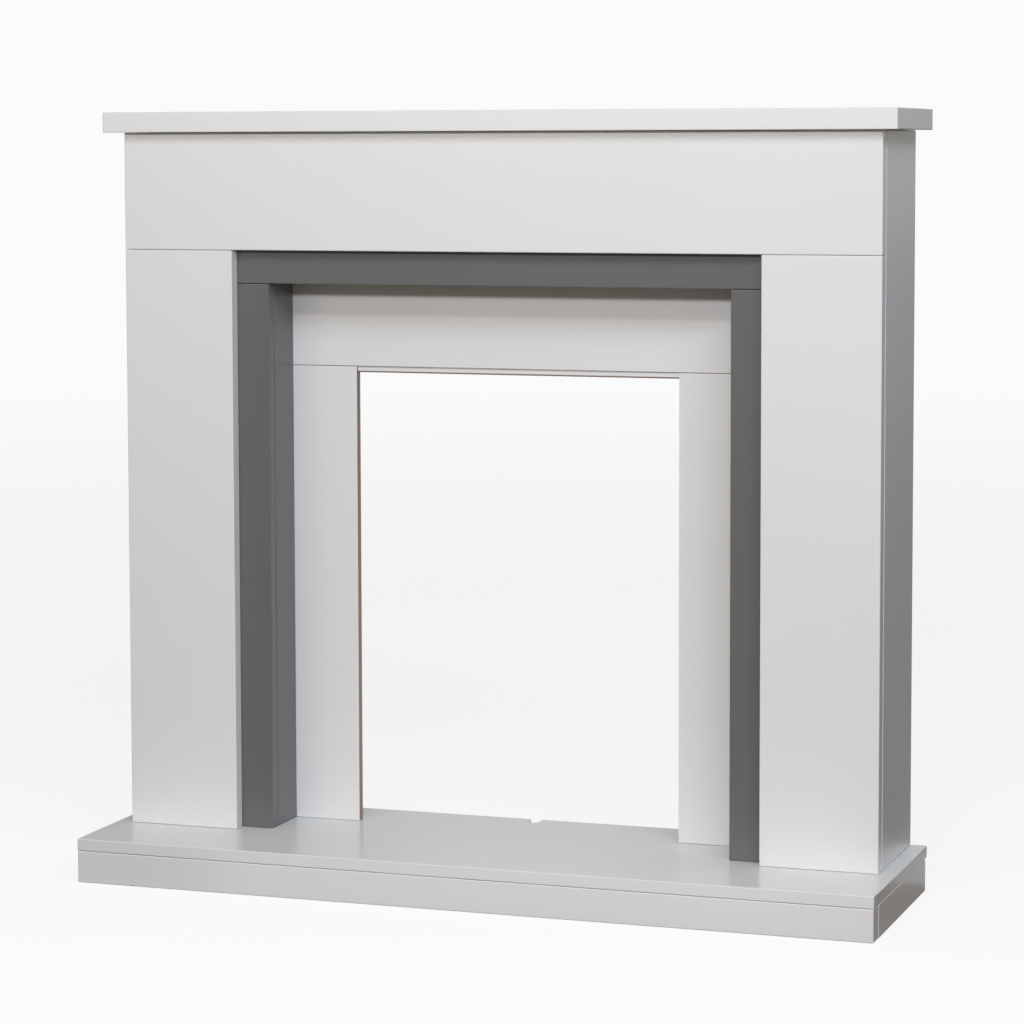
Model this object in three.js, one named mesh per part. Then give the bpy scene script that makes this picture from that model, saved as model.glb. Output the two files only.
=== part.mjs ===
// A fireplace mantelpiece: flat painted boards around a fire opening, standing on a low box hearth.
// Millimetres, +Z up. X runs along the shelf and +Y points to the wall, so the front faces -Y.
// The origin is on the floor, under the middle of the whole piece.

import * as THREE from 'three';
import { RoundedBoxGeometry } from 'three/addons/geometries/RoundedBoxGeometry.js';

// Hearth: a slab on a plinth of three boards, open to the wall
const hearthWidth = 990;
const hearthDepth = 287;
const slabThickness = 15;
const plinthHeight = 39;
const plinthFrontThickness = 25;
const plinthSideThickness = 18;
const plinthBackInset = 8;

// Cable notch in the middle of the slab's back edge
const notchWidth = 14;
const notchDepth = 21;

// Shelf
const shelfWidth = 990;
const shelfThickness = 25;
const shelfFrontOverhang = 18;

// Surround: frieze, pilasters and side panels
const surroundWidth = 950;
const surroundDepth = 175;
const surroundHeight = 857;
const frontThickness = 18;
const pilasterWidth = 143;
const friezeHeight = 143;
const sideThickness = 18;

// Grey trim: strips behind the front boards, with returns to the back panel
const trimReveal = 41;
const trimLap = 40;
const trimThickness = 16;

// Back panel: a head on two legs, joined by a tongue and a groove
const rebateDepth = 68;
const panelThickness = 12;
const openingWidth = 414;
const openingHeight = 569;
const tongueThickness = 5;
const tongueLength = 7.5;
const tongueChamfer = 2;
const tongueClearance = 0.5;

// Every board's edges are eased, in few flats, and the notch's round end has more
const arrisRadius = 1.5;
const arrisSegments = 1;
const slabArrisSegments = 2;
const notchSegments = 8;

// Planes from front to back
const hearthFrontY = -hearthDepth / 2;
const wallY = hearthDepth / 2;
const frontY = wallY - surroundDepth;
const trimY = frontY + frontThickness;
const returnY = trimY + trimThickness;
const panelY = wallY - rebateDepth - panelThickness;
const shelfFrontY = frontY - shelfFrontOverhang;

// Levels from the floor up
const hearthTop = plinthHeight + slabThickness;
const shelfUnderside = hearthTop + surroundHeight;
const shelfTop = shelfUnderside + shelfThickness;
const friezeBottom = shelfUnderside - friezeHeight;
const trimBottom = friezeBottom - trimReveal;
const trimTop = friezeBottom + trimLap;
const openingTop = hearthTop + openingHeight;

// Distances from the middle plane
const hearthHalf = hearthWidth / 2;
const shelfHalf = shelfWidth / 2;
const surroundHalf = surroundWidth / 2;
const sideInner = surroundHalf - sideThickness;
const pilasterInner = surroundHalf - pilasterWidth;
const trimInner = pilasterInner - trimReveal;
const trimOuter = pilasterInner + trimLap;
const openingHalf = openingWidth / 2;

const sides = [
  { name: 'left', sign: -1 },
  { name: 'right', sign: 1 },
];

function whitePaint() {
  return new THREE.MeshStandardMaterial({ color: 0xe9eaea, roughness: 0.45, metalness: 0 });
}

function greyPaint() {
  return new THREE.MeshStandardMaterial({ color: 0x5f6062, roughness: 0.5, metalness: 0 });
}

// The stretch of X between two distances from the middle, on one side of it
function spanOn(side, inner, outer) {
  return [side.sign * inner, side.sign * outer].sort((a, b) => a - b);
}

// A flat board between three pairs of planes, with all its edges eased
function board(name, material, xs, ys, zs) {
  const spans = [xs, ys, zs];
  const [width, depth, height] = spans.map(([low, high]) => high - low);
  const middle = spans.map(([low, high]) => (low + high) / 2);
  const geometry = new RoundedBoxGeometry(width, depth, height, arrisSegments, arrisRadius);
  const mesh = new THREE.Mesh(geometry, material);
  mesh.name = name;
  mesh.position.set(...middle);
  return mesh;
}

// A board with a profile: its section in the Y and Z plane, run along X
function profiledBoard(name, material, section, [startX, endX]) {
  const shape = new THREE.Shape(section.map(([y, z]) => new THREE.Vector2(y, z)));
  const geometry = new THREE.ExtrudeGeometry(shape, { depth: endX - startX, bevelEnabled: false });
  const alongX = new THREE.Matrix4().makeBasis(
    new THREE.Vector3(0, 1, 0),
    new THREE.Vector3(0, 0, 1),
    new THREE.Vector3(1, 0, 0),
  );
  geometry.applyMatrix4(alongX);
  const mesh = new THREE.Mesh(geometry, material);
  mesh.name = name;
  mesh.position.x = startX;
  return mesh;
}

// The slab seen from above: a rectangle with a round-ended notch in its back edge
function slabOutline() {
  const notchHalf = notchWidth / 2;
  const notchCentreY = wallY - notchDepth + notchHalf;
  const outline = new THREE.Shape();
  outline.moveTo(-hearthHalf, hearthFrontY);
  outline.lineTo(hearthHalf, hearthFrontY);
  outline.lineTo(hearthHalf, wallY);
  outline.lineTo(notchHalf, wallY);
  outline.lineTo(notchHalf, notchCentreY);
  outline.absarc(0, notchCentreY, notchHalf, 0, -Math.PI, true);
  outline.lineTo(-notchHalf, wallY);
  outline.lineTo(-hearthHalf, wallY);
  return outline;
}

function hearthSlab() {
  const geometry = new THREE.ExtrudeGeometry(slabOutline(), {
    depth: slabThickness - 2 * arrisRadius,
    curveSegments: notchSegments,
    bevelThickness: arrisRadius,
    bevelSize: arrisRadius,
    bevelOffset: -arrisRadius,
    bevelSegments: slabArrisSegments,
  });
  const mesh = new THREE.Mesh(geometry, whitePaint());
  mesh.name = 'hearth_slab';
  mesh.position.z = plinthHeight + arrisRadius;
  return mesh;
}

function hearth() {
  const group = new THREE.Group();
  const width = [-hearthHalf, hearthHalf];
  const height = [0, plinthHeight];
  const plinthFrontBack = hearthFrontY + plinthFrontThickness;
  group.add(hearthSlab());
  group.add(board('plinth_front', whitePaint(), width, [hearthFrontY, plinthFrontBack], height));
  for (const side of sides) {
    const thickness = spanOn(side, hearthHalf - plinthSideThickness, hearthHalf);
    const run = [plinthFrontBack, wallY - plinthBackInset];
    group.add(board(`plinth_side_${side.name}`, whitePaint(), thickness, run, height));
  }
  return group;
}

function surround() {
  const group = new THREE.Group();
  const front = [frontY, trimY];
  const shelfSpan = [-shelfHalf, shelfHalf];
  const shelfRun = [shelfFrontY, wallY];
  const friezeSpan = [-surroundHalf, surroundHalf];
  group.add(board('mantel_shelf', whitePaint(), shelfSpan, shelfRun, [shelfUnderside, shelfTop]));
  group.add(board('frieze_board', whitePaint(), friezeSpan, front, [friezeBottom, shelfUnderside]));
  for (const side of sides) {
    const pilaster = spanOn(side, pilasterInner, surroundHalf);
    const panel = spanOn(side, sideInner, surroundHalf);
    group.add(board(`pilaster_${side.name}`, whitePaint(), pilaster, front, [hearthTop, friezeBottom]));
    const panelHeight = [hearthTop, shelfUnderside];
    group.add(board(`side_panel_${side.name}`, whitePaint(), panel, [trimY, wallY], panelHeight));
  }
  return group;
}

function trim() {
  const group = new THREE.Group();
  const strip = [trimY, returnY];
  const run = [returnY, panelY];
  const soffitHalf = trimInner + trimThickness;
  group.add(board('trim_head', greyPaint(), [-trimOuter, trimOuter], strip, [trimBottom, trimTop]));
  const soffitSpan = [-soffitHalf, soffitHalf];
  const soffitHeight = [trimBottom, trimBottom + trimThickness];
  group.add(board('trim_soffit', greyPaint(), soffitSpan, run, soffitHeight));
  for (const side of sides) {
    const jamb = spanOn(side, trimInner, trimOuter);
    const lining = spanOn(side, trimInner, soffitHalf);
    group.add(board(`trim_jamb_${side.name}`, greyPaint(), jamb, strip, [hearthTop, trimBottom]));
    group.add(board(`trim_return_${side.name}`, greyPaint(), lining, run, [hearthTop, trimBottom]));
  }
  return group;
}

// The head's section: its front lower edge is eased, and a chamfered tongue hangs from its lower edge
function panelHeadSection() {
  const backY = panelY + panelThickness;
  const tongueFront = panelY + (panelThickness - tongueThickness) / 2;
  const tongueBack = tongueFront + tongueThickness;
  const tongueTip = openingTop - tongueLength;
  return [
    [panelY, openingTop + arrisRadius],
    [panelY + arrisRadius, openingTop],
    [tongueFront, openingTop],
    [tongueFront, tongueTip + tongueChamfer],
    [tongueFront + tongueChamfer, tongueTip],
    [tongueBack - tongueChamfer, tongueTip],
    [tongueBack, tongueTip + tongueChamfer],
    [tongueBack, openingTop],
    [backY, openingTop],
    [backY, shelfUnderside],
    [panelY, shelfUnderside],
  ];
}

// A leg's section: its front upper edge is eased, and its top is grooved for the tongue
function panelLegSection() {
  const backY = panelY + panelThickness;
  const grooveFront = panelY + (panelThickness - tongueThickness) / 2 - tongueClearance;
  const grooveBack = grooveFront + tongueThickness + 2 * tongueClearance;
  const grooveFloor = openingTop - tongueLength - tongueClearance;
  return [
    [panelY, hearthTop],
    [backY, hearthTop],
    [backY, openingTop],
    [grooveBack, openingTop],
    [grooveBack, grooveFloor],
    [grooveFront, grooveFloor],
    [grooveFront, openingTop],
    [panelY + arrisRadius, openingTop],
    [panelY, openingTop - arrisRadius],
  ];
}

function backPanel() {
  const group = new THREE.Group();
  group.add(profiledBoard('back_panel_head', whitePaint(), panelHeadSection(), [-sideInner, sideInner]));
  for (const side of sides) {
    const leg = spanOn(side, openingHalf, sideInner);
    group.add(profiledBoard(`back_panel_leg_${side.name}`, whitePaint(), panelLegSection(), leg));
  }
  return group;
}

const mantelpiece = new THREE.Group();
mantelpiece.name = 'fireplace_mantelpiece';
mantelpiece.add(hearth(), surround(), trim(), backPanel());

export default mantelpiece;
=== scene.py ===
# %% [markdown]
# # A fireplace mantelpiece in painted board
# The real piece is a kit of flat boards: a shelf, a frieze on two pilasters, two side panels, a dark
# grey trim set back behind them, a white back panel cut out for a fire, and a low box hearth. Nothing
# on it is carved, so its looks come from small things: how far every edge is eased, the thin dark
# joints between the boards, the satin paint, and the raw board that shows where the paint stops. The
# CAD model gives every board's place, so the lesson starts by loading it.

# %% Load the frame
import math
import bpy
import numpy as np
from mathutils import Euler, Matrix, Vector


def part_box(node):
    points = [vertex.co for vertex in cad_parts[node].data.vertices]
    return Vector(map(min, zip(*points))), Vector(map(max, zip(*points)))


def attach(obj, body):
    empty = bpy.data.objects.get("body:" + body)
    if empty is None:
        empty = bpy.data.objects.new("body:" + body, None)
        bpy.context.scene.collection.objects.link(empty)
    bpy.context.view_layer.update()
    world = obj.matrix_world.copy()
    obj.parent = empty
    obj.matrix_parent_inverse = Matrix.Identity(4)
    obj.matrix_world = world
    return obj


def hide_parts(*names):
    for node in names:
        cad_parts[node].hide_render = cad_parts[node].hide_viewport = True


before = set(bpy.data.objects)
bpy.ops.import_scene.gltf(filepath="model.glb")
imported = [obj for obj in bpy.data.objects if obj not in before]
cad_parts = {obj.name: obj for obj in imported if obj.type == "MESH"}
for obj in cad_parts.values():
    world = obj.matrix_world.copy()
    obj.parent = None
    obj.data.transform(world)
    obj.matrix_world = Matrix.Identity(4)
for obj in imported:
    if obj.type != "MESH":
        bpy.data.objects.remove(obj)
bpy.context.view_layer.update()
print("boards in the frame:", len(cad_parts))

# %% [markdown]
# ## The camera
# The picture was taken from a little to the right of the piece, at about the height of its shelf, with
# a long lens. Blender's camera could be aimed with a constraint, but here it is turned by three angles,
# as a tripod head is: yaw, pitch and roll. The lens is shifted down a little, as on a view camera, so
# that the upright edges stay nearly upright in the picture.

# %% Camera
CAMERA_PLACE = (1.2931, -3.7053, 0.8896)
YAW, PITCH, ROLL = (math.radians(angle) for angle in (18.996, 4.704, -0.137))
SENSOR_MM = 36.0
LENS_MM = 115.57
LENS_SHIFT = -0.09


def add_object(name, data):
    """A new object in the scene, which stays at the origin unless it is moved."""
    made = bpy.data.objects.new(name, data)
    bpy.context.scene.collection.objects.link(made)
    return made


def make_camera():
    """A level camera looks along +Y. It is pitched down, turned left by the yaw, then rolled."""
    lens = bpy.data.cameras.new("camera")
    lens.sensor_width = SENSOR_MM
    lens.lens = LENS_MM
    lens.shift_y = LENS_SHIFT
    camera = add_object("camera", lens)
    aimed = Euler((math.pi / 2 - PITCH, 0, YAW)).to_matrix()
    turned = aimed @ Matrix.Rotation(ROLL, 3, "Z")
    camera.matrix_world = Matrix.Translation(CAMERA_PLACE) @ turned.to_4x4()
    bpy.context.scene.camera = camera
    return camera


camera = make_camera()
print("camera at", tuple(round(place, 3) for place in camera.location))

# %% [markdown]
# ## An outline with eased corners
# Every board here is a flat outline that is carried straight along one axis. A bevel modifier could
# round a box, but it can't tell a cut edge from an eased one, so the rounding is worked out instead.
# This first helper turns the corners of an outline into arcs, and keeps the outward normal of every
# point, because the next helper needs it.

# %% Eased outline
ARC_STEPS = 5
SAMPLE_RADIUS = 0.1


def eased_outline(corners, radii):
    """Each corner of a closed outline, anticlockwise, becomes an arc that touches both its sides.

    With n1 and n2 the outward normals of the sides before and after a corner, the mitre is
    (n1 + n2) / (1 + n1.n2). The arc's centre is corner - r * mitre, and its points are
    centre + r * n, while n turns from n1 to n2. In a hollow corner r counts as negative.
    """
    corners = np.asarray(corners, float)
    ahead = np.roll(corners, -1, axis=0) - corners
    ahead /= np.linalg.norm(ahead, axis=1, keepdims=True)
    after = np.stack([ahead[:, 1], -ahead[:, 0]], axis=1)
    before = np.roll(after, 1, axis=0)
    cross = before[:, 0] * after[:, 1] - before[:, 1] * after[:, 0]
    along = (before * after).sum(axis=1)
    share = np.linspace(0, 1, ARC_STEPS + 1)
    angle = np.arctan2(before[:, 1], before[:, 0])[:, None] + np.arctan2(cross, along)[:, None] * share
    normals = np.stack([np.cos(angle), np.sin(angle)], axis=-1)
    mitre = (before + after) / (1 + along)[:, None]
    reach = (np.sign(cross) * radii)[:, None]
    points = (corners - reach * mitre)[:, None] + reach[:, None] * normals
    return points.reshape(-1, 2), normals.reshape(-1, 2)


sample_corners = [(0, 0), (1, 0), (1, 1), (0, 1)]
square = eased_outline(sample_corners, np.full(len(sample_corners), SAMPLE_RADIUS))
print("points on an eased square:", len(square[0]))

# %% [markdown]
# ## Carrying the outline along an axis
# The outline now becomes a solid. At each end its rim is rounded over too, so the outline shrinks a
# little as it turns the corner. All the points are one numpy grid, with the outline running along the
# columns and the length along the rows. The exact normals go into the mesh as well: with averaged ones
# a broad flat face next to a narrow round one would look pillowed.

# %% Eased prism
# For each length axis, the axes that the outline's two directions and the length run along
AXES = {"x": (1, 2, 0), "z": (0, 1, 2)}


def eased_prism(outline, ends, arrises, axis):
    """An outline carried from one end to the other along an axis, with both rims rounded.

    Each end has an arris of its own, the radius of its round. Over the round, at an angle a from the
    outline's plane, the outline is drawn in along its normals by arris * (1 - cos a) and stands
    arris * sin a beyond the round's centre. The normal there is cos a times the outline's normal plus
    sin a times the axis.
    """
    points, normals = outline
    quarter = np.linspace(0, math.pi / 2, ARC_STEPS + 1)
    angle = np.concatenate([quarter - math.pi / 2, quarter])[:, None]
    arris = np.repeat(arrises, ARC_STEPS + 1)[:, None]
    centre = np.repeat([ends[0] + arrises[0], ends[1] - arrises[1]], ARC_STEPS + 1)[:, None]
    rows, columns = len(angle), len(points)
    spread = np.ones((1, columns))
    drawn_in = arris * (1 - np.cos(angle))
    local = np.stack([
        points[:, 0] - drawn_in * normals[:, 0],
        points[:, 1] - drawn_in * normals[:, 1],
        (centre + arris * np.sin(angle)) * spread,
    ], axis=-1)
    local_normals = np.stack([
        np.cos(angle) * normals[:, 0],
        np.cos(angle) * normals[:, 1],
        np.sin(angle) * spread,
    ], axis=-1)
    place = np.argsort(AXES[axis])
    grid = np.arange(rows * columns).reshape(rows, columns)
    beside = np.roll(grid, -1, axis=1)
    quads = np.stack([grid[:-1], beside[:-1], beside[1:], grid[1:]], axis=-1).reshape(-1, 4)
    faces = [*quads.tolist(), grid[0, ::-1].tolist(), grid[-1].tolist()]
    return local.reshape(-1, 3)[:, place], local_normals.reshape(-1, 3)[:, place], faces


cube = eased_prism(square, (0, 1), (SAMPLE_RADIUS / 2, SAMPLE_RADIUS / 2), "z")
print("faces on an eased cube:", len(cube[2]))

# %% [markdown]
# ## From arrays to a piece
# A piece needs its mesh, its finish, the board that it stands for and the body that it moves with. Each
# face also carries one number, called raw: 1 where the board was cut and never painted, 0 where it is
# painted. The finish reads that number, so one material covers both.

# %% Make a piece
# The least cosine of the angle between two directions that count as the same
SAME_WAY = 0.999


def make_piece(node, solid, finish, raw_sides):
    """A mesh from the solid's arrays. A face is raw where it looks the same way as a raw side."""
    points, normals, faces = solid
    mesh = bpy.data.meshes.new(node)
    mesh.from_pydata(points.tolist(), [], faces)
    mesh.shade_smooth()
    mesh.normals_split_custom_set_from_vertices(normals.tolist())
    facing = np.empty(len(faces) * 3)
    mesh.polygons.foreach_get("normal", facing)
    raw = np.zeros(len(faces))
    for side in raw_sides:
        raw[facing.reshape(-1, 3) @ np.asarray(side, float) > SAME_WAY] = 1
    mesh.attributes.new("raw", "FLOAT", "FACE").data.foreach_set("value", raw)
    mesh.materials.append(finish)
    piece = add_object(node + "_painted", mesh)
    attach(piece, "root")
    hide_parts(node)
    return piece


print("a face is raw within", round(math.degrees(math.acos(SAME_WAY)), 1), "degrees of a raw side")

# %% [markdown]
# ## Shader arithmetic
# A finish is a network of nodes. Written one node at a time it is hard to read, so this class wraps a
# socket and lets Python's own signs add Math nodes. Every other node comes from its one method, node.
# The short helpers after it are the nodes that come up again and again.

# %% Shader arithmetic
MIX_FACTOR, MIX_FIRST, MIX_SECOND, MIX_RESULT = 0, 6, 7, 2
PLAIN_DETAIL = 2.0
FINE_DETAIL = 4.0


class Wire:
    """A socket in a node tree: + - * on it add Math nodes, and node() adds any other node."""

    def __init__(self, tree, socket=None):
        self.tree = tree
        self.socket = socket

    def node(self, kind, settings=None, values=None, output=0):
        """Adds a node, sets its settings, then fills its sockets with numbers or with wires."""
        made = self.tree.nodes.new(kind)
        for name, setting in (settings or {}).items():
            setattr(made, name, setting)
        for name, value in (values or {}).items():
            if isinstance(value, Wire):
                self.tree.links.new(value.socket, made.inputs[name])
            else:
                made.inputs[name].default_value = value
        return Wire(self.tree, made.outputs[output]) if made.outputs else made

    def math(self, operation, first, second):
        """A Math node on two values, each a number or a wire."""
        return self.node("ShaderNodeMath", {"operation": operation}, {0: first, 1: second})

    def __add__(self, other):
        return self.math("ADD", self, other)

    def __sub__(self, other):
        return self.math("SUBTRACT", self, other)

    def __rsub__(self, other):
        return self.math("SUBTRACT", other, self)

    def __mul__(self, other):
        return self.math("MULTIPLY", self, other)

    __radd__ = __add__
    __rmul__ = __mul__


def empty_tree(block):
    """Clears the nodes of a material or a world, and gives a wire to fill it with."""
    block.use_nodes = True
    block.node_tree.nodes.clear()
    return Wire(block.node_tree)


def measure(wire, place, axis):
    """How far a place lies along one axis."""
    return wire.node("ShaderNodeSeparateXYZ", None, {0: place}, axis)


def noise(wire, place, size, detail=PLAIN_DETAIL):
    """Noise from 0 to 1 whose patches are about this size in metres."""
    values = {"Vector": place, "Scale": 1 / size, "Detail": detail}
    return wire.node("ShaderNodeTexNoise", None, values)


def mixed_colour(wire, factor, first, second):
    """The first colour where the factor is 0, the second where it is 1."""
    values = {MIX_FACTOR: factor, MIX_FIRST: first, MIX_SECOND: second}
    return wire.node("ShaderNodeMix", {"data_type": "RGBA"}, values, MIX_RESULT)


print("a wire takes + - * and adds nodes")

# %% [markdown]
# ## Satin paint on fibreboard
# The paint is sprayed and smooth, with a fine skin like orange peel that only shows in the gloss, and
# its colour drifts very slightly over a board. Where it stops, the board is brown and matt, pressed from
# short fibres, with darker and paler specks. Both are in one material, mixed by the raw number. Two small
# chips on the plinth's lower edge show the board too, so they are added to that number where they lie.

# %% Satin paint on fibreboard
PEEL_SIZE = 0.0016
PEEL_HEIGHT = 0.00002
FIBRE_SIZE = 0.0007
FIBRE_HEIGHT = 0.00008
DRIFT_SIZE = 0.25
GLOSS_SIZE = DRIFT_SIZE / 6
GLOSS_SPREAD = 0.04
NOISE_MIDDLE = 0.5
HEIGHTS_IN_METRES = 1.0
RAW_DARK = (0.256, 0.180, 0.133, 1)
RAW_PALE = (0.525, 0.378, 0.290, 1)
RAW_ROUGHNESS = 0.85
WHITE_SHADES = ((0.80, 0.80, 0.80, 1), (0.84, 0.84, 0.84, 1))
WHITE_ROUGHNESS = 0.23
GREY_SHADES = ((0.136, 0.137, 0.139, 1), (0.154, 0.155, 0.157, 1))
GREY_ROUGHNESS = 0.24
CHIPS = [(-0.4440, 0.0007), (-0.4203, 0.0009)]
CHIP_HALF_WIDTH = 0.0013
CHIP_HALF_HEIGHT = 0.0009
CHIP_RIM = (0.7, 1.3)


def chip(wire, place, centre):
    """1 inside a small ellipse in the plane of X and Z, 0 outside it, with a short slope at its rim.

    With x and z counted from the centre, (x / half width) squared plus (z / half height) squared is 1
    on the ellipse.
    """
    across = (measure(wire, place, "X") - centre[0]) * (1 / CHIP_HALF_WIDTH)
    upward = (measure(wire, place, "Z") - centre[1]) * (1 / CHIP_HALF_HEIGHT)
    reach = across * across + upward * upward
    start, end = CHIP_RIM
    values = {"Value": reach, "From Min": start, "From Max": end, "To Min": 1.0, "To Max": 0.0}
    return wire.node("ShaderNodeMapRange", None, values)


def satin_paint(name, shades, roughness, chips=()):
    """Paint between two near shades, and raw fibreboard on the faces marked raw and in the chips."""
    material = bpy.data.materials.new(name)
    wire = empty_tree(material)
    place = wire.node("ShaderNodeTexCoord", output="Object")
    raw = wire.node("ShaderNodeAttribute", {"attribute_name": "raw"}, output="Fac")
    for centre in chips:
        raw = wire.math("MAXIMUM", raw, chip(wire, place, centre))
    peel = noise(wire, place, PEEL_SIZE)
    fibre = noise(wire, place, FIBRE_SIZE, FINE_DETAIL)
    paint = mixed_colour(wire, noise(wire, place, DRIFT_SIZE, FINE_DETAIL), *shades)
    board = mixed_colour(wire, fibre, RAW_DARK, RAW_PALE)
    gloss = roughness + GLOSS_SPREAD * (noise(wire, place, GLOSS_SIZE) - NOISE_MIDDLE)
    height = PEEL_HEIGHT * peel * (1 - raw) + FIBRE_HEIGHT * fibre * raw
    surface = wire.node("ShaderNodeBsdfPrincipled", None, {
        "Base Color": mixed_colour(wire, raw, paint, board),
        "Roughness": gloss * (1 - raw) + RAW_ROUGHNESS * raw,
        "Normal": wire.node("ShaderNodeBump", None, {"Distance": HEIGHTS_IN_METRES, "Height": height}),
    })
    wire.node("ShaderNodeOutputMaterial", None, {"Surface": surface})
    return material


white = satin_paint("white_satin_paint", WHITE_SHADES, WHITE_ROUGHNESS, CHIPS)
grey = satin_paint("grey_satin_paint", GREY_SHADES, GREY_ROUGHNESS)
print("finishes:", white.name, grey.name)

# %% [markdown]
# ## The plain boards
# Fifteen of the boards are plain rectangles, and the CAD model's boxes give their sizes. Each is made a
# hair smaller all round, which leaves the thin dark joints that the real kit has. An arris is the round
# along an edge, and a corner of the outline has a slightly larger one, so that something of it is left
# where the rim is drawn in. Boards that stand on the hearth have a sharper lower edge, so that little
# shadow shows at their feet. Where the end of a front board meets a side board, the front one stops a hair
# short, so a thin line of the side board's edge catches the light.

# %% Plain boards
ARRIS = 0.0012
CORNER = 0.00138
FOOT_ARRIS = 0.0004
JOINT = 0.0002
STEP = 0.0005
STEPPED_LEFT = {"frieze_board", "pilaster_left", "plinth_front"}
STEPPED_RIGHT = {"frieze_board", "pilaster_right", "plinth_front"}
STANDING = {
    "pilaster_left",
    "pilaster_right",
    "side_panel_left",
    "side_panel_right",
    "trim_jamb_left",
    "trim_jamb_right",
    "trim_return_left",
    "trim_return_right",
}
LEFT, RIGHT, BACK, TOP, UNDER = (-1, 0, 0), (1, 0, 0), (0, 1, 0), (0, 0, 1), (0, 0, -1)
WHITE_BOARDS = {
    "mantel_shelf": [BACK],
    "frieze_board": [BACK],
    "pilaster_left": [BACK],
    "pilaster_right": [BACK],
    "side_panel_left": [RIGHT, BACK],
    "side_panel_right": [LEFT, BACK],
    "plinth_front": [BACK, UNDER],
    "plinth_side_left": [RIGHT, BACK, UNDER],
    "plinth_side_right": [LEFT, BACK, UNDER],
}
GREY_BOARDS = {
    "trim_head": [BACK, TOP],
    "trim_soffit": [BACK, TOP],
    "trim_jamb_left": [BACK],
    "trim_jamb_right": [BACK],
    "trim_return_left": [LEFT, BACK],
    "trim_return_right": [RIGHT, BACK],
}


def board(node, finish, slot, raw_sides):
    """A rectangle in plan with eased corners, carried up from its underside to its top."""
    low, high = (np.array(corner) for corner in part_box(node))
    low += JOINT
    high -= JOINT
    low[0] += STEP * (node in STEPPED_LEFT)
    high[0] -= STEP * (node in STEPPED_RIGHT)
    arrises = (FOOT_ARRIS if node in STANDING else ARRIS, ARRIS)
    corners = [(low[0], low[1]), (high[0], low[1]), (high[0], high[1]), (low[0], high[1])]
    outline = eased_outline(corners, np.full(len(corners), CORNER))
    solid = eased_prism(outline, (low[2], high[2]), arrises, "z")
    return make_piece(node, solid, finish, raw_sides)


for node, raw_sides in WHITE_BOARDS.items():
    board(node, white, "white_paint", raw_sides)
for node, raw_sides in GREY_BOARDS.items():
    board(node, grey, "grey_paint", raw_sides)
print("plain boards:", len(WHITE_BOARDS) + len(GREY_BOARDS))

# %% [markdown]
# ## The back panel
# The panel is a head on two legs. A tongue along the head's lower edge drops into a groove in the top of
# each leg, and in the middle it hangs free over the fire opening, where its raw chamfer shows. So the
# head and the legs are a section in the plane of Y and Z, carried along X. Their edges are cut and hardly
# eased, apart from the two that meet in front, at the joint of the head and the legs.

# %% Back panel
TONGUE_THICKNESS = 0.005
TONGUE_LENGTH = 0.0075
TONGUE_CHAMFER = 0.002
CLEARANCE = 0.0005
CUT_ARRIS = 0.0003
DIAGONAL = math.sqrt(0.5)
CHAMFER_FRONT = (0, -DIAGONAL, -DIAGONAL)
CHAMFER_BACK = (0, DIAGONAL, -DIAGONAL)


def panel_head():
    """The head's section, anticlockwise from its upper front corner, carried from side to side."""
    node = "back_panel_head"
    low, high = (np.array(corner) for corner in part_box(node))
    top = high[2] - JOINT
    shoulder = low[2] + TONGUE_LENGTH + JOINT
    front, back = low[1] + JOINT, high[1] - JOINT
    tongue_front = (low[1] + high[1] - TONGUE_THICKNESS) / 2
    tongue_back = tongue_front + TONGUE_THICKNESS
    section = [
        (front, top),
        (front, shoulder),
        (tongue_front, shoulder),
        (tongue_front, low[2] + TONGUE_CHAMFER),
        (tongue_front + TONGUE_CHAMFER, low[2]),
        (tongue_back - TONGUE_CHAMFER, low[2]),
        (tongue_back, low[2] + TONGUE_CHAMFER),
        (tongue_back, shoulder),
        (back, shoulder),
        (back, top),
    ]
    radii = np.full(len(section), CUT_ARRIS)
    radii[section.index((front, shoulder))] = ARRIS
    ends = (low[0] + JOINT, high[0] - JOINT)
    solid = eased_prism(eased_outline(section, radii), ends, (CUT_ARRIS, CUT_ARRIS), "x")
    raw_sides = [BACK, UNDER, CHAMFER_FRONT, CHAMFER_BACK]
    return make_piece(node, solid, white, raw_sides)


def panel_leg(node, opening_side):
    """A leg's section with the groove in its top, carried along X to its cut at the opening."""
    low, high = (np.array(corner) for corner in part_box(node))
    foot, top = low[2] + JOINT, high[2] - JOINT
    front, back = low[1] + JOINT, high[1] - JOINT
    groove_front = (low[1] + high[1] - TONGUE_THICKNESS) / 2 - CLEARANCE
    groove_back = groove_front + TONGUE_THICKNESS + 2 * CLEARANCE
    groove_floor = high[2] - TONGUE_LENGTH - CLEARANCE
    section = [
        (front, foot),
        (back, foot),
        (back, top),
        (groove_back, top),
        (groove_back, groove_floor),
        (groove_front, groove_floor),
        (groove_front, top),
        (front, top),
    ]
    radii = np.full(len(section), CUT_ARRIS)
    radii[section.index((front, top))] = ARRIS
    ends = (low[0], high[0])
    solid = eased_prism(eased_outline(section, radii), ends, (CUT_ARRIS, CUT_ARRIS), "x")
    return make_piece(node, solid, white, [BACK, opening_side])


head = panel_head()
left_leg = panel_leg("back_panel_leg_left", RIGHT)
right_leg = panel_leg("back_panel_leg_right", LEFT)
print("back panel:", head.name, left_leg.name, right_leg.name)

# %% [markdown]
# ## The hearth slab
# The slab is one board with a round-ended notch in its back edge, where a lead passes down. Its outline
# in plan has two hollow corners, whose radius is half the notch's width, so they meet in a half circle.
# A boolean could cut the notch as well, but it would leave no exact normals to round its edge with.

# %% Hearth slab
NOTCH_WIDTH = 0.014
NOTCH_DEPTH = 0.021
# The two hollow corners stop just short of each other, so that no side of the outline has length 0
NEARLY_ALL = 0.999


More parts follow.
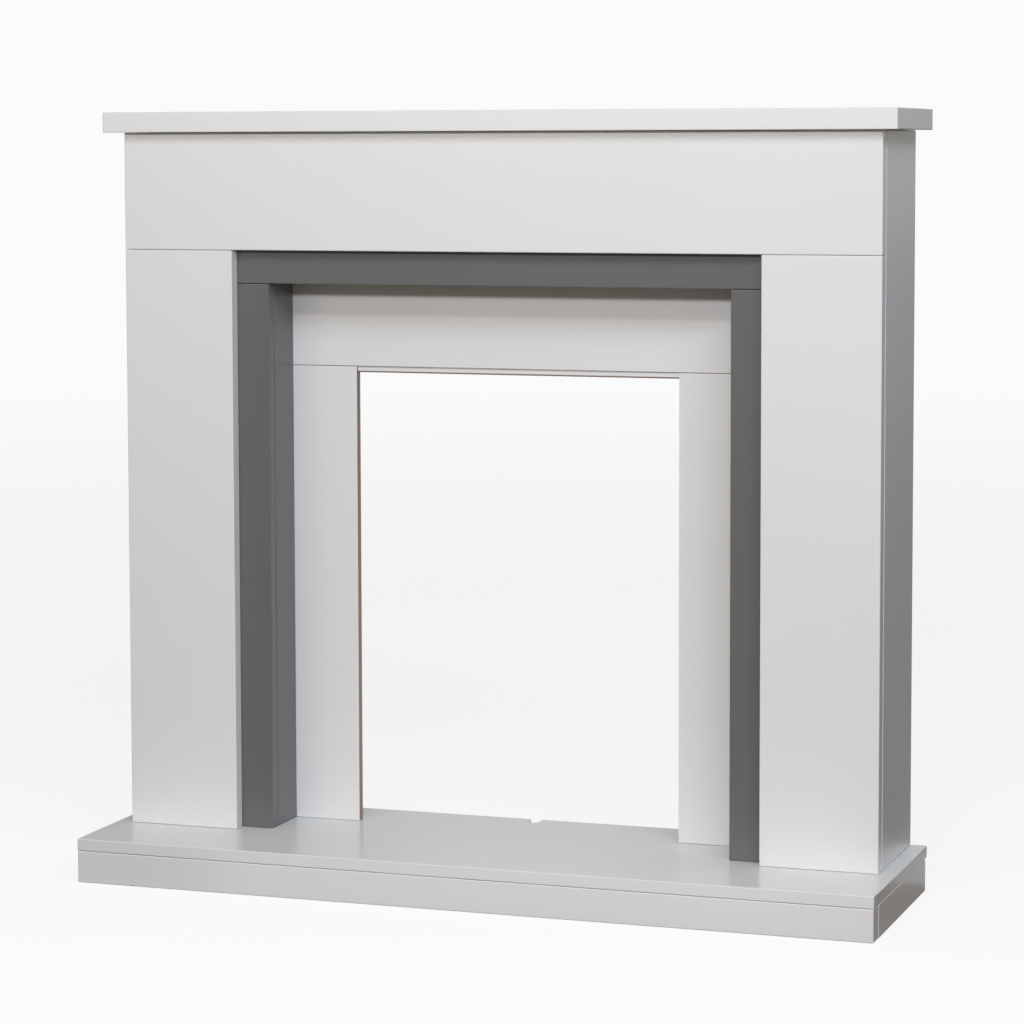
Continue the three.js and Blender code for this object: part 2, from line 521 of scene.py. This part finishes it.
def hearth_slab():
    """The slab's plan, anticlockwise from its front left corner, carried from underside to top."""
    node = "hearth_slab"
    low, high = (np.array(corner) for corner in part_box(node))
    low += JOINT
    high -= JOINT
    half = NOTCH_WIDTH / 2
    notch_front = high[1] - NOTCH_DEPTH
    plan = [
        (low[0], low[1]),
        (high[0], low[1]),
        (high[0], high[1]),
        (half, high[1]),
        (half, notch_front),
        (-half, notch_front),
        (-half, high[1]),
        (low[0], high[1]),
    ]
    radii = np.full(len(plan), CORNER)
    for hollow in (half, notch_front), (-half, notch_front):
        radii[plan.index(hollow)] = NEARLY_ALL * half
    solid = eased_prism(eased_outline(plan, radii), (low[2], high[2]), (ARRIS, ARRIS), "z")
    return make_piece(node, solid, white, [UNDER])


slab = hearth_slab()
print("hearth slab:", slab.name, "with", len(slab.data.polygons), "faces")

# %% [markdown]
# ## The floor that the camera sees
# The piece stands on a plain pale sheet that runs back until it can't be told from the wall. In a studio
# the sheet has lamps of its own, so it looks nearly white, with only a soft shadow round the hearth. Here
# it gets that look from a glow: the sheet is lit a little and glows a lot. A sheet that was only lit would
# need lamps so strong that the piece itself would burn out.

# %% Floor that the camera sees
FLOOR_HALF = 30.0
FADE = (2.0, 9.0)
BACKDROP = (0.96, 0.96, 0.96, 1)
SHEET_COLOUR = (0.18, 0.18, 0.18, 1)
SHEET_GLOW = (0.83, 0.83, 0.83, 1)


def smooth_step(wire, value, reach):
    """0 below the reach, 1 above it, and a smooth slope between."""
    values = {"Value": value, "From Min": reach[0], "From Max": reach[1]}
    return wire.node("ShaderNodeMapRange", {"interpolation_type": "SMOOTHSTEP"}, values)


def glow_of(wire, colour):
    """Light of one colour, the same in every direction."""
    return wire.node("ShaderNodeEmission", None, {"Color": colour})


def mixed_shader(wire, factor, first, second):
    """The first shader where the factor is 0, the second where it is 1."""
    return wire.node("ShaderNodeMixShader", None, {0: factor, 1: first, 2: second})


def seen_sheet(wire, place):
    """A lit and glowing sheet, which fades into the backdrop with the distance from the origin."""
    distance = wire.node("ShaderNodeVectorMath", {"operation": "LENGTH"}, {0: place}, "Value")
    lit = wire.node("ShaderNodeBsdfDiffuse", None, {"Color": SHEET_COLOUR})
    near = wire.node("ShaderNodeAddShader", None, {0: lit, 1: glow_of(wire, SHEET_GLOW)})
    return mixed_shader(wire, smooth_step(wire, distance, FADE), near, glow_of(wire, BACKDROP))


print("the sheet fades out between", FADE[0], "and", FADE[1], "m")

# %% [markdown]
# ## The floor that lights the piece
# What the sheet sends back to the piece is another matter, and the boards near it take their shades from
# it. There is a little warm light from all of it in front. Close to the hearth, the sheet is dim on the
# left, lit on the right, and warm beside the right end. A lit strip lies behind the piece, which the
# hearth's ends mirror, then a dim stretch that brightens far off, which the right side panel mirrors. On
# the left, the sheet behind the piece is bright, so that the back isn't dark. Lamps with shades could do
# all this, but each one would light other boards too.

# %% Floor that lights the piece
FRONT_GLOW = (0.143, 0.124, 0.108, 1)
PATCHES = {
    "dim left": ((-1.20, -0.33), (-0.42, -0.16), (0.010, 0.005, 0.002, 1)),
    "lit right": ((-0.33, 0.50), (-0.42, -0.16), (0.240, 0.210, 0.172, 1)),
    "right end": ((0.50, 0.95), (-0.42, 0.14), (0.106, 0.060, 0.025, 1)),
}
PATCH_EDGE = 0.03
BANDS = {
    "lit strip": ((0.15, 0.19), (0.43, 0.43, 0.42, 1)),
    "dim": ((0.32, 0.44), (0.018, 0.020, 0.024, 1)),
    "far": ((0.5, 12.0), (0.20, 0.21, 0.22, 1)),
}
LEFT_EDGE = (0.20, 0.45)
BACK_EDGE = (0.15, 0.19)
BACK_GLOW = (0.88, 0.88, 0.86, 1)


def within(wire, value, reach):
    """1 between the two ends of the reach, 0 outside it, with a soft edge at each end."""
    start = smooth_step(wire, value, (reach[0] - PATCH_EDGE, reach[0] + PATCH_EDGE))
    end = smooth_step(wire, value, (reach[1] - PATCH_EDGE, reach[1] + PATCH_EDGE))
    return start * (1 - end)


def lighting_sheet(wire, place):
    """The front glow, the patches over it, the bands by their depth, and the bright part on the left."""
    across = measure(wire, place, "X")
    depth = measure(wire, place, "Y")
    glow = glow_of(wire, FRONT_GLOW)
    for span, run, colour in PATCHES.values():
        share = within(wire, across, span) * within(wire, depth, run)
        glow = mixed_shader(wire, share, glow, glow_of(wire, colour))
    for reach, colour in BANDS.values():
        glow = mixed_shader(wire, smooth_step(wire, depth, reach), glow, glow_of(wire, colour))
    behind_left = smooth_step(wire, depth, BACK_EDGE) * (1 - smooth_step(wire, across, LEFT_EDGE))
    return mixed_shader(wire, behind_left, glow, glow_of(wire, BACK_GLOW))


print("parts of the sheet:", ", ".join([*PATCHES, *BANDS]))

# %% [markdown]
# ## The floor itself
# Both sheets are one material on one big square. A Light Path node tells the camera's rays from all
# others, and gives each kind its own sheet.

# %% Floor
def floor_material():
    """The seen sheet for the camera's rays, and the lighting one for all others."""
    material = bpy.data.materials.new("floor")
    wire = empty_tree(material)
    place = wire.node("ShaderNodeTexCoord", output="Object")
    from_camera = wire.node("ShaderNodeLightPath", output="Is Camera Ray")
    surface = mixed_shader(wire, from_camera, lighting_sheet(wire, place), seen_sheet(wire, place))
    wire.node("ShaderNodeOutputMaterial", None, {"Surface": surface})
    return material


def studio_sheet(name, corners, material):
    """One flat face between four corners, which belongs to the studio and not to the piece."""
    mesh = bpy.data.meshes.new(name)
    mesh.from_pydata(corners, [], [(0, 1, 2, 3)])
    mesh.materials.append(material)
    sheet = add_object(name, mesh)
    return sheet


floor_corners = FLOOR_HALF * np.array([(-1, -1, 0), (1, -1, 0), (1, 1, 0), (-1, 1, 0)])
floor = studio_sheet("floor", floor_corners.tolist(), floor_material())
print(floor.name + ":", 2 * FLOOR_HALF, "m square")

# %% [markdown]
# ## A card behind the piece
# Seen at such a low angle, the hearth's paint is a dull mirror. What it mirrors is brightest behind the
# fire opening, and dark behind its left end. A low upright card gives it both. Only mirrored rays meet the
# card, so it lights nothing else and never shows itself.

# %% Card behind the piece
CARD_DEPTH = 0.30
CARD_LEFT, CARD_RIGHT = -1.6, 0.40
CARD_HEIGHT = 0.45
CARD_DARK = (0.28, 0.28, 0.265, 1)
CARD_BRIGHT = (0.66, 0.66, 0.66, 1)
CARD_PLAIN = (0.52, 0.52, 0.51, 1)
CARD_DARK_EDGE = (-0.55, -0.12)
CARD_BRIGHT_EDGE = (-0.02, 0.22)
HIDDEN_FROM = ("camera", "diffuse", "transmission", "volume_scatter", "shadow")


def card_material():
    """A glow that changes along X: dark, then bright behind the opening, then plain."""
    material = bpy.data.materials.new("card")
    wire = empty_tree(material)
    place = wire.node("ShaderNodeTexCoord", output="Object")
    across = measure(wire, place, "X")
    left = mixed_colour(wire, smooth_step(wire, across, CARD_DARK_EDGE), CARD_DARK, CARD_BRIGHT)
    colour = mixed_colour(wire, smooth_step(wire, across, CARD_BRIGHT_EDGE), left, CARD_PLAIN)
    wire.node("ShaderNodeOutputMaterial", None, {"Surface": glow_of(wire, colour)})
    return material


card_corners = [
    (CARD_LEFT, CARD_DEPTH, 0),
    (CARD_RIGHT, CARD_DEPTH, 0),
    (CARD_RIGHT, CARD_DEPTH, CARD_HEIGHT),
    (CARD_LEFT, CARD_DEPTH, CARD_HEIGHT),
]
card = studio_sheet("card", card_corners, card_material())
for kind in HIDDEN_FROM:
    setattr(card, "visible_" + kind, False)
print(card.name + ":", CARD_RIGHT - CARD_LEFT, "m wide")

# %% [markdown]
# ## The room's glow
# White walls send soft light from all round. Three broad lobes stand for them: one behind the piece, which
# is the strongest because the wall there is lit, a warm one in front, and a weaker one from above and
# behind. A lobe is brightest along its own direction and fades with the cosine of the angle from it. The
# camera sees none of this, only the plain backdrop.

# %% The room's glow
LOBES = {
    "behind": ((0, 1, 0), (0.406, 0.409, 0.383, 1)),
    "front": ((0, -1, 0), (0.401, 0.320, 0.256, 1)),
    "above": ((0, 0.6, 0.8), (0.254, 0.244, 0.255, 1)),
}


def room_glow():
    """Adds the lobes up: each one's colour times the cosine, where that is above zero."""
    world = bpy.data.worlds.new("room")
    wire = empty_tree(world)
    way = wire.node("ShaderNodeTexCoord", output="Generated")
    glow = wire.node("ShaderNodeBackground", None, {"Strength": 0.0})
    for direction, colour in LOBES.values():
        vectors = {0: way, 1: direction}
        cosine = wire.node("ShaderNodeVectorMath", {"operation": "DOT_PRODUCT"}, vectors, "Value")
        strength = wire.math("MAXIMUM", cosine, 0.0)
        lobe = wire.node("ShaderNodeBackground", None, {"Color": colour, "Strength": strength})
        glow = wire.node("ShaderNodeAddShader", None, {0: glow, 1: lobe})
    backdrop = wire.node("ShaderNodeBackground", None, {"Color": BACKDROP})
    from_camera = wire.node("ShaderNodeLightPath", output="Is Camera Ray")
    surface = mixed_shader(wire, from_camera, glow, backdrop)
    wire.node("ShaderNodeOutputWorld", None, {"Surface": surface})
    bpy.context.scene.world = world


room_glow()
bpy.context.scene.view_settings.view_transform = "Standard"
print("lobes of light:", ", ".join(LOBES))

# %% [markdown]
# ## The strip lights
# Under the shelf, the frieze and the grey trim the shadows come in two or three soft steps, one above the
# other. So the studio has long, thin strips of light at three heights: lower ones shine far into the
# recess, and the higher ones lay the shadows below each ledge. Most of the light is on the right. The
# strips are area lights, all aimed at the middle of the piece, because an area light's shape is what
# draws the edge of a shadow.

# %% Strip lights
AIM = Vector((0, 0, 0.6))
THICKNESS_PER_METRE = 0.06
WARM = (1.04, 1.06, 0.90)
PLAIN = (1.02, 1.00, 0.98)
COOL = (0.97, 0.98, 1.05)
COLD = (0.83, 1.01, 1.16)
STRIPS = {
    "low_left": {"span": (-2.0, -0.4), "distance": 2.9, "height": 1.40, "watts": 10.7, "colour": WARM},
    "low_right": {"span": (0.4, 1.2), "distance": 2.9, "height": 1.40, "watts": 26.8, "colour": COOL},
    "middle": {"span": (-0.2, 0.5), "distance": 1.8, "height": 1.70, "watts": 6.1, "colour": PLAIN},
    "high": {"span": (1.2, 3.8), "distance": 3.2, "height": 3.20, "watts": 67.0, "colour": COLD},
}


def strip_light(name, span, distance, height, watts, colour):
    """A rectangle of light between two ends, turned to face the point that all the strips are aimed at."""
    lamp = bpy.data.lights.new(name, "AREA")
    lamp.shape = "RECTANGLE"
    lamp.size = span[1] - span[0]
    lamp.size_y = THICKNESS_PER_METRE * distance
    lamp.energy = watts
    lamp.color = colour
    strip = add_object(name, lamp)
    place = Vector((sum(span) / 2, -distance, height))
    turned = (AIM - place).to_track_quat("-Z", "Y").to_matrix().to_4x4()
    strip.matrix_world = Matrix.Translation(place) @ turned


for name, facts in STRIPS.items():
    strip_light(name, **facts)
print("strip lights:", ", ".join(STRIPS))
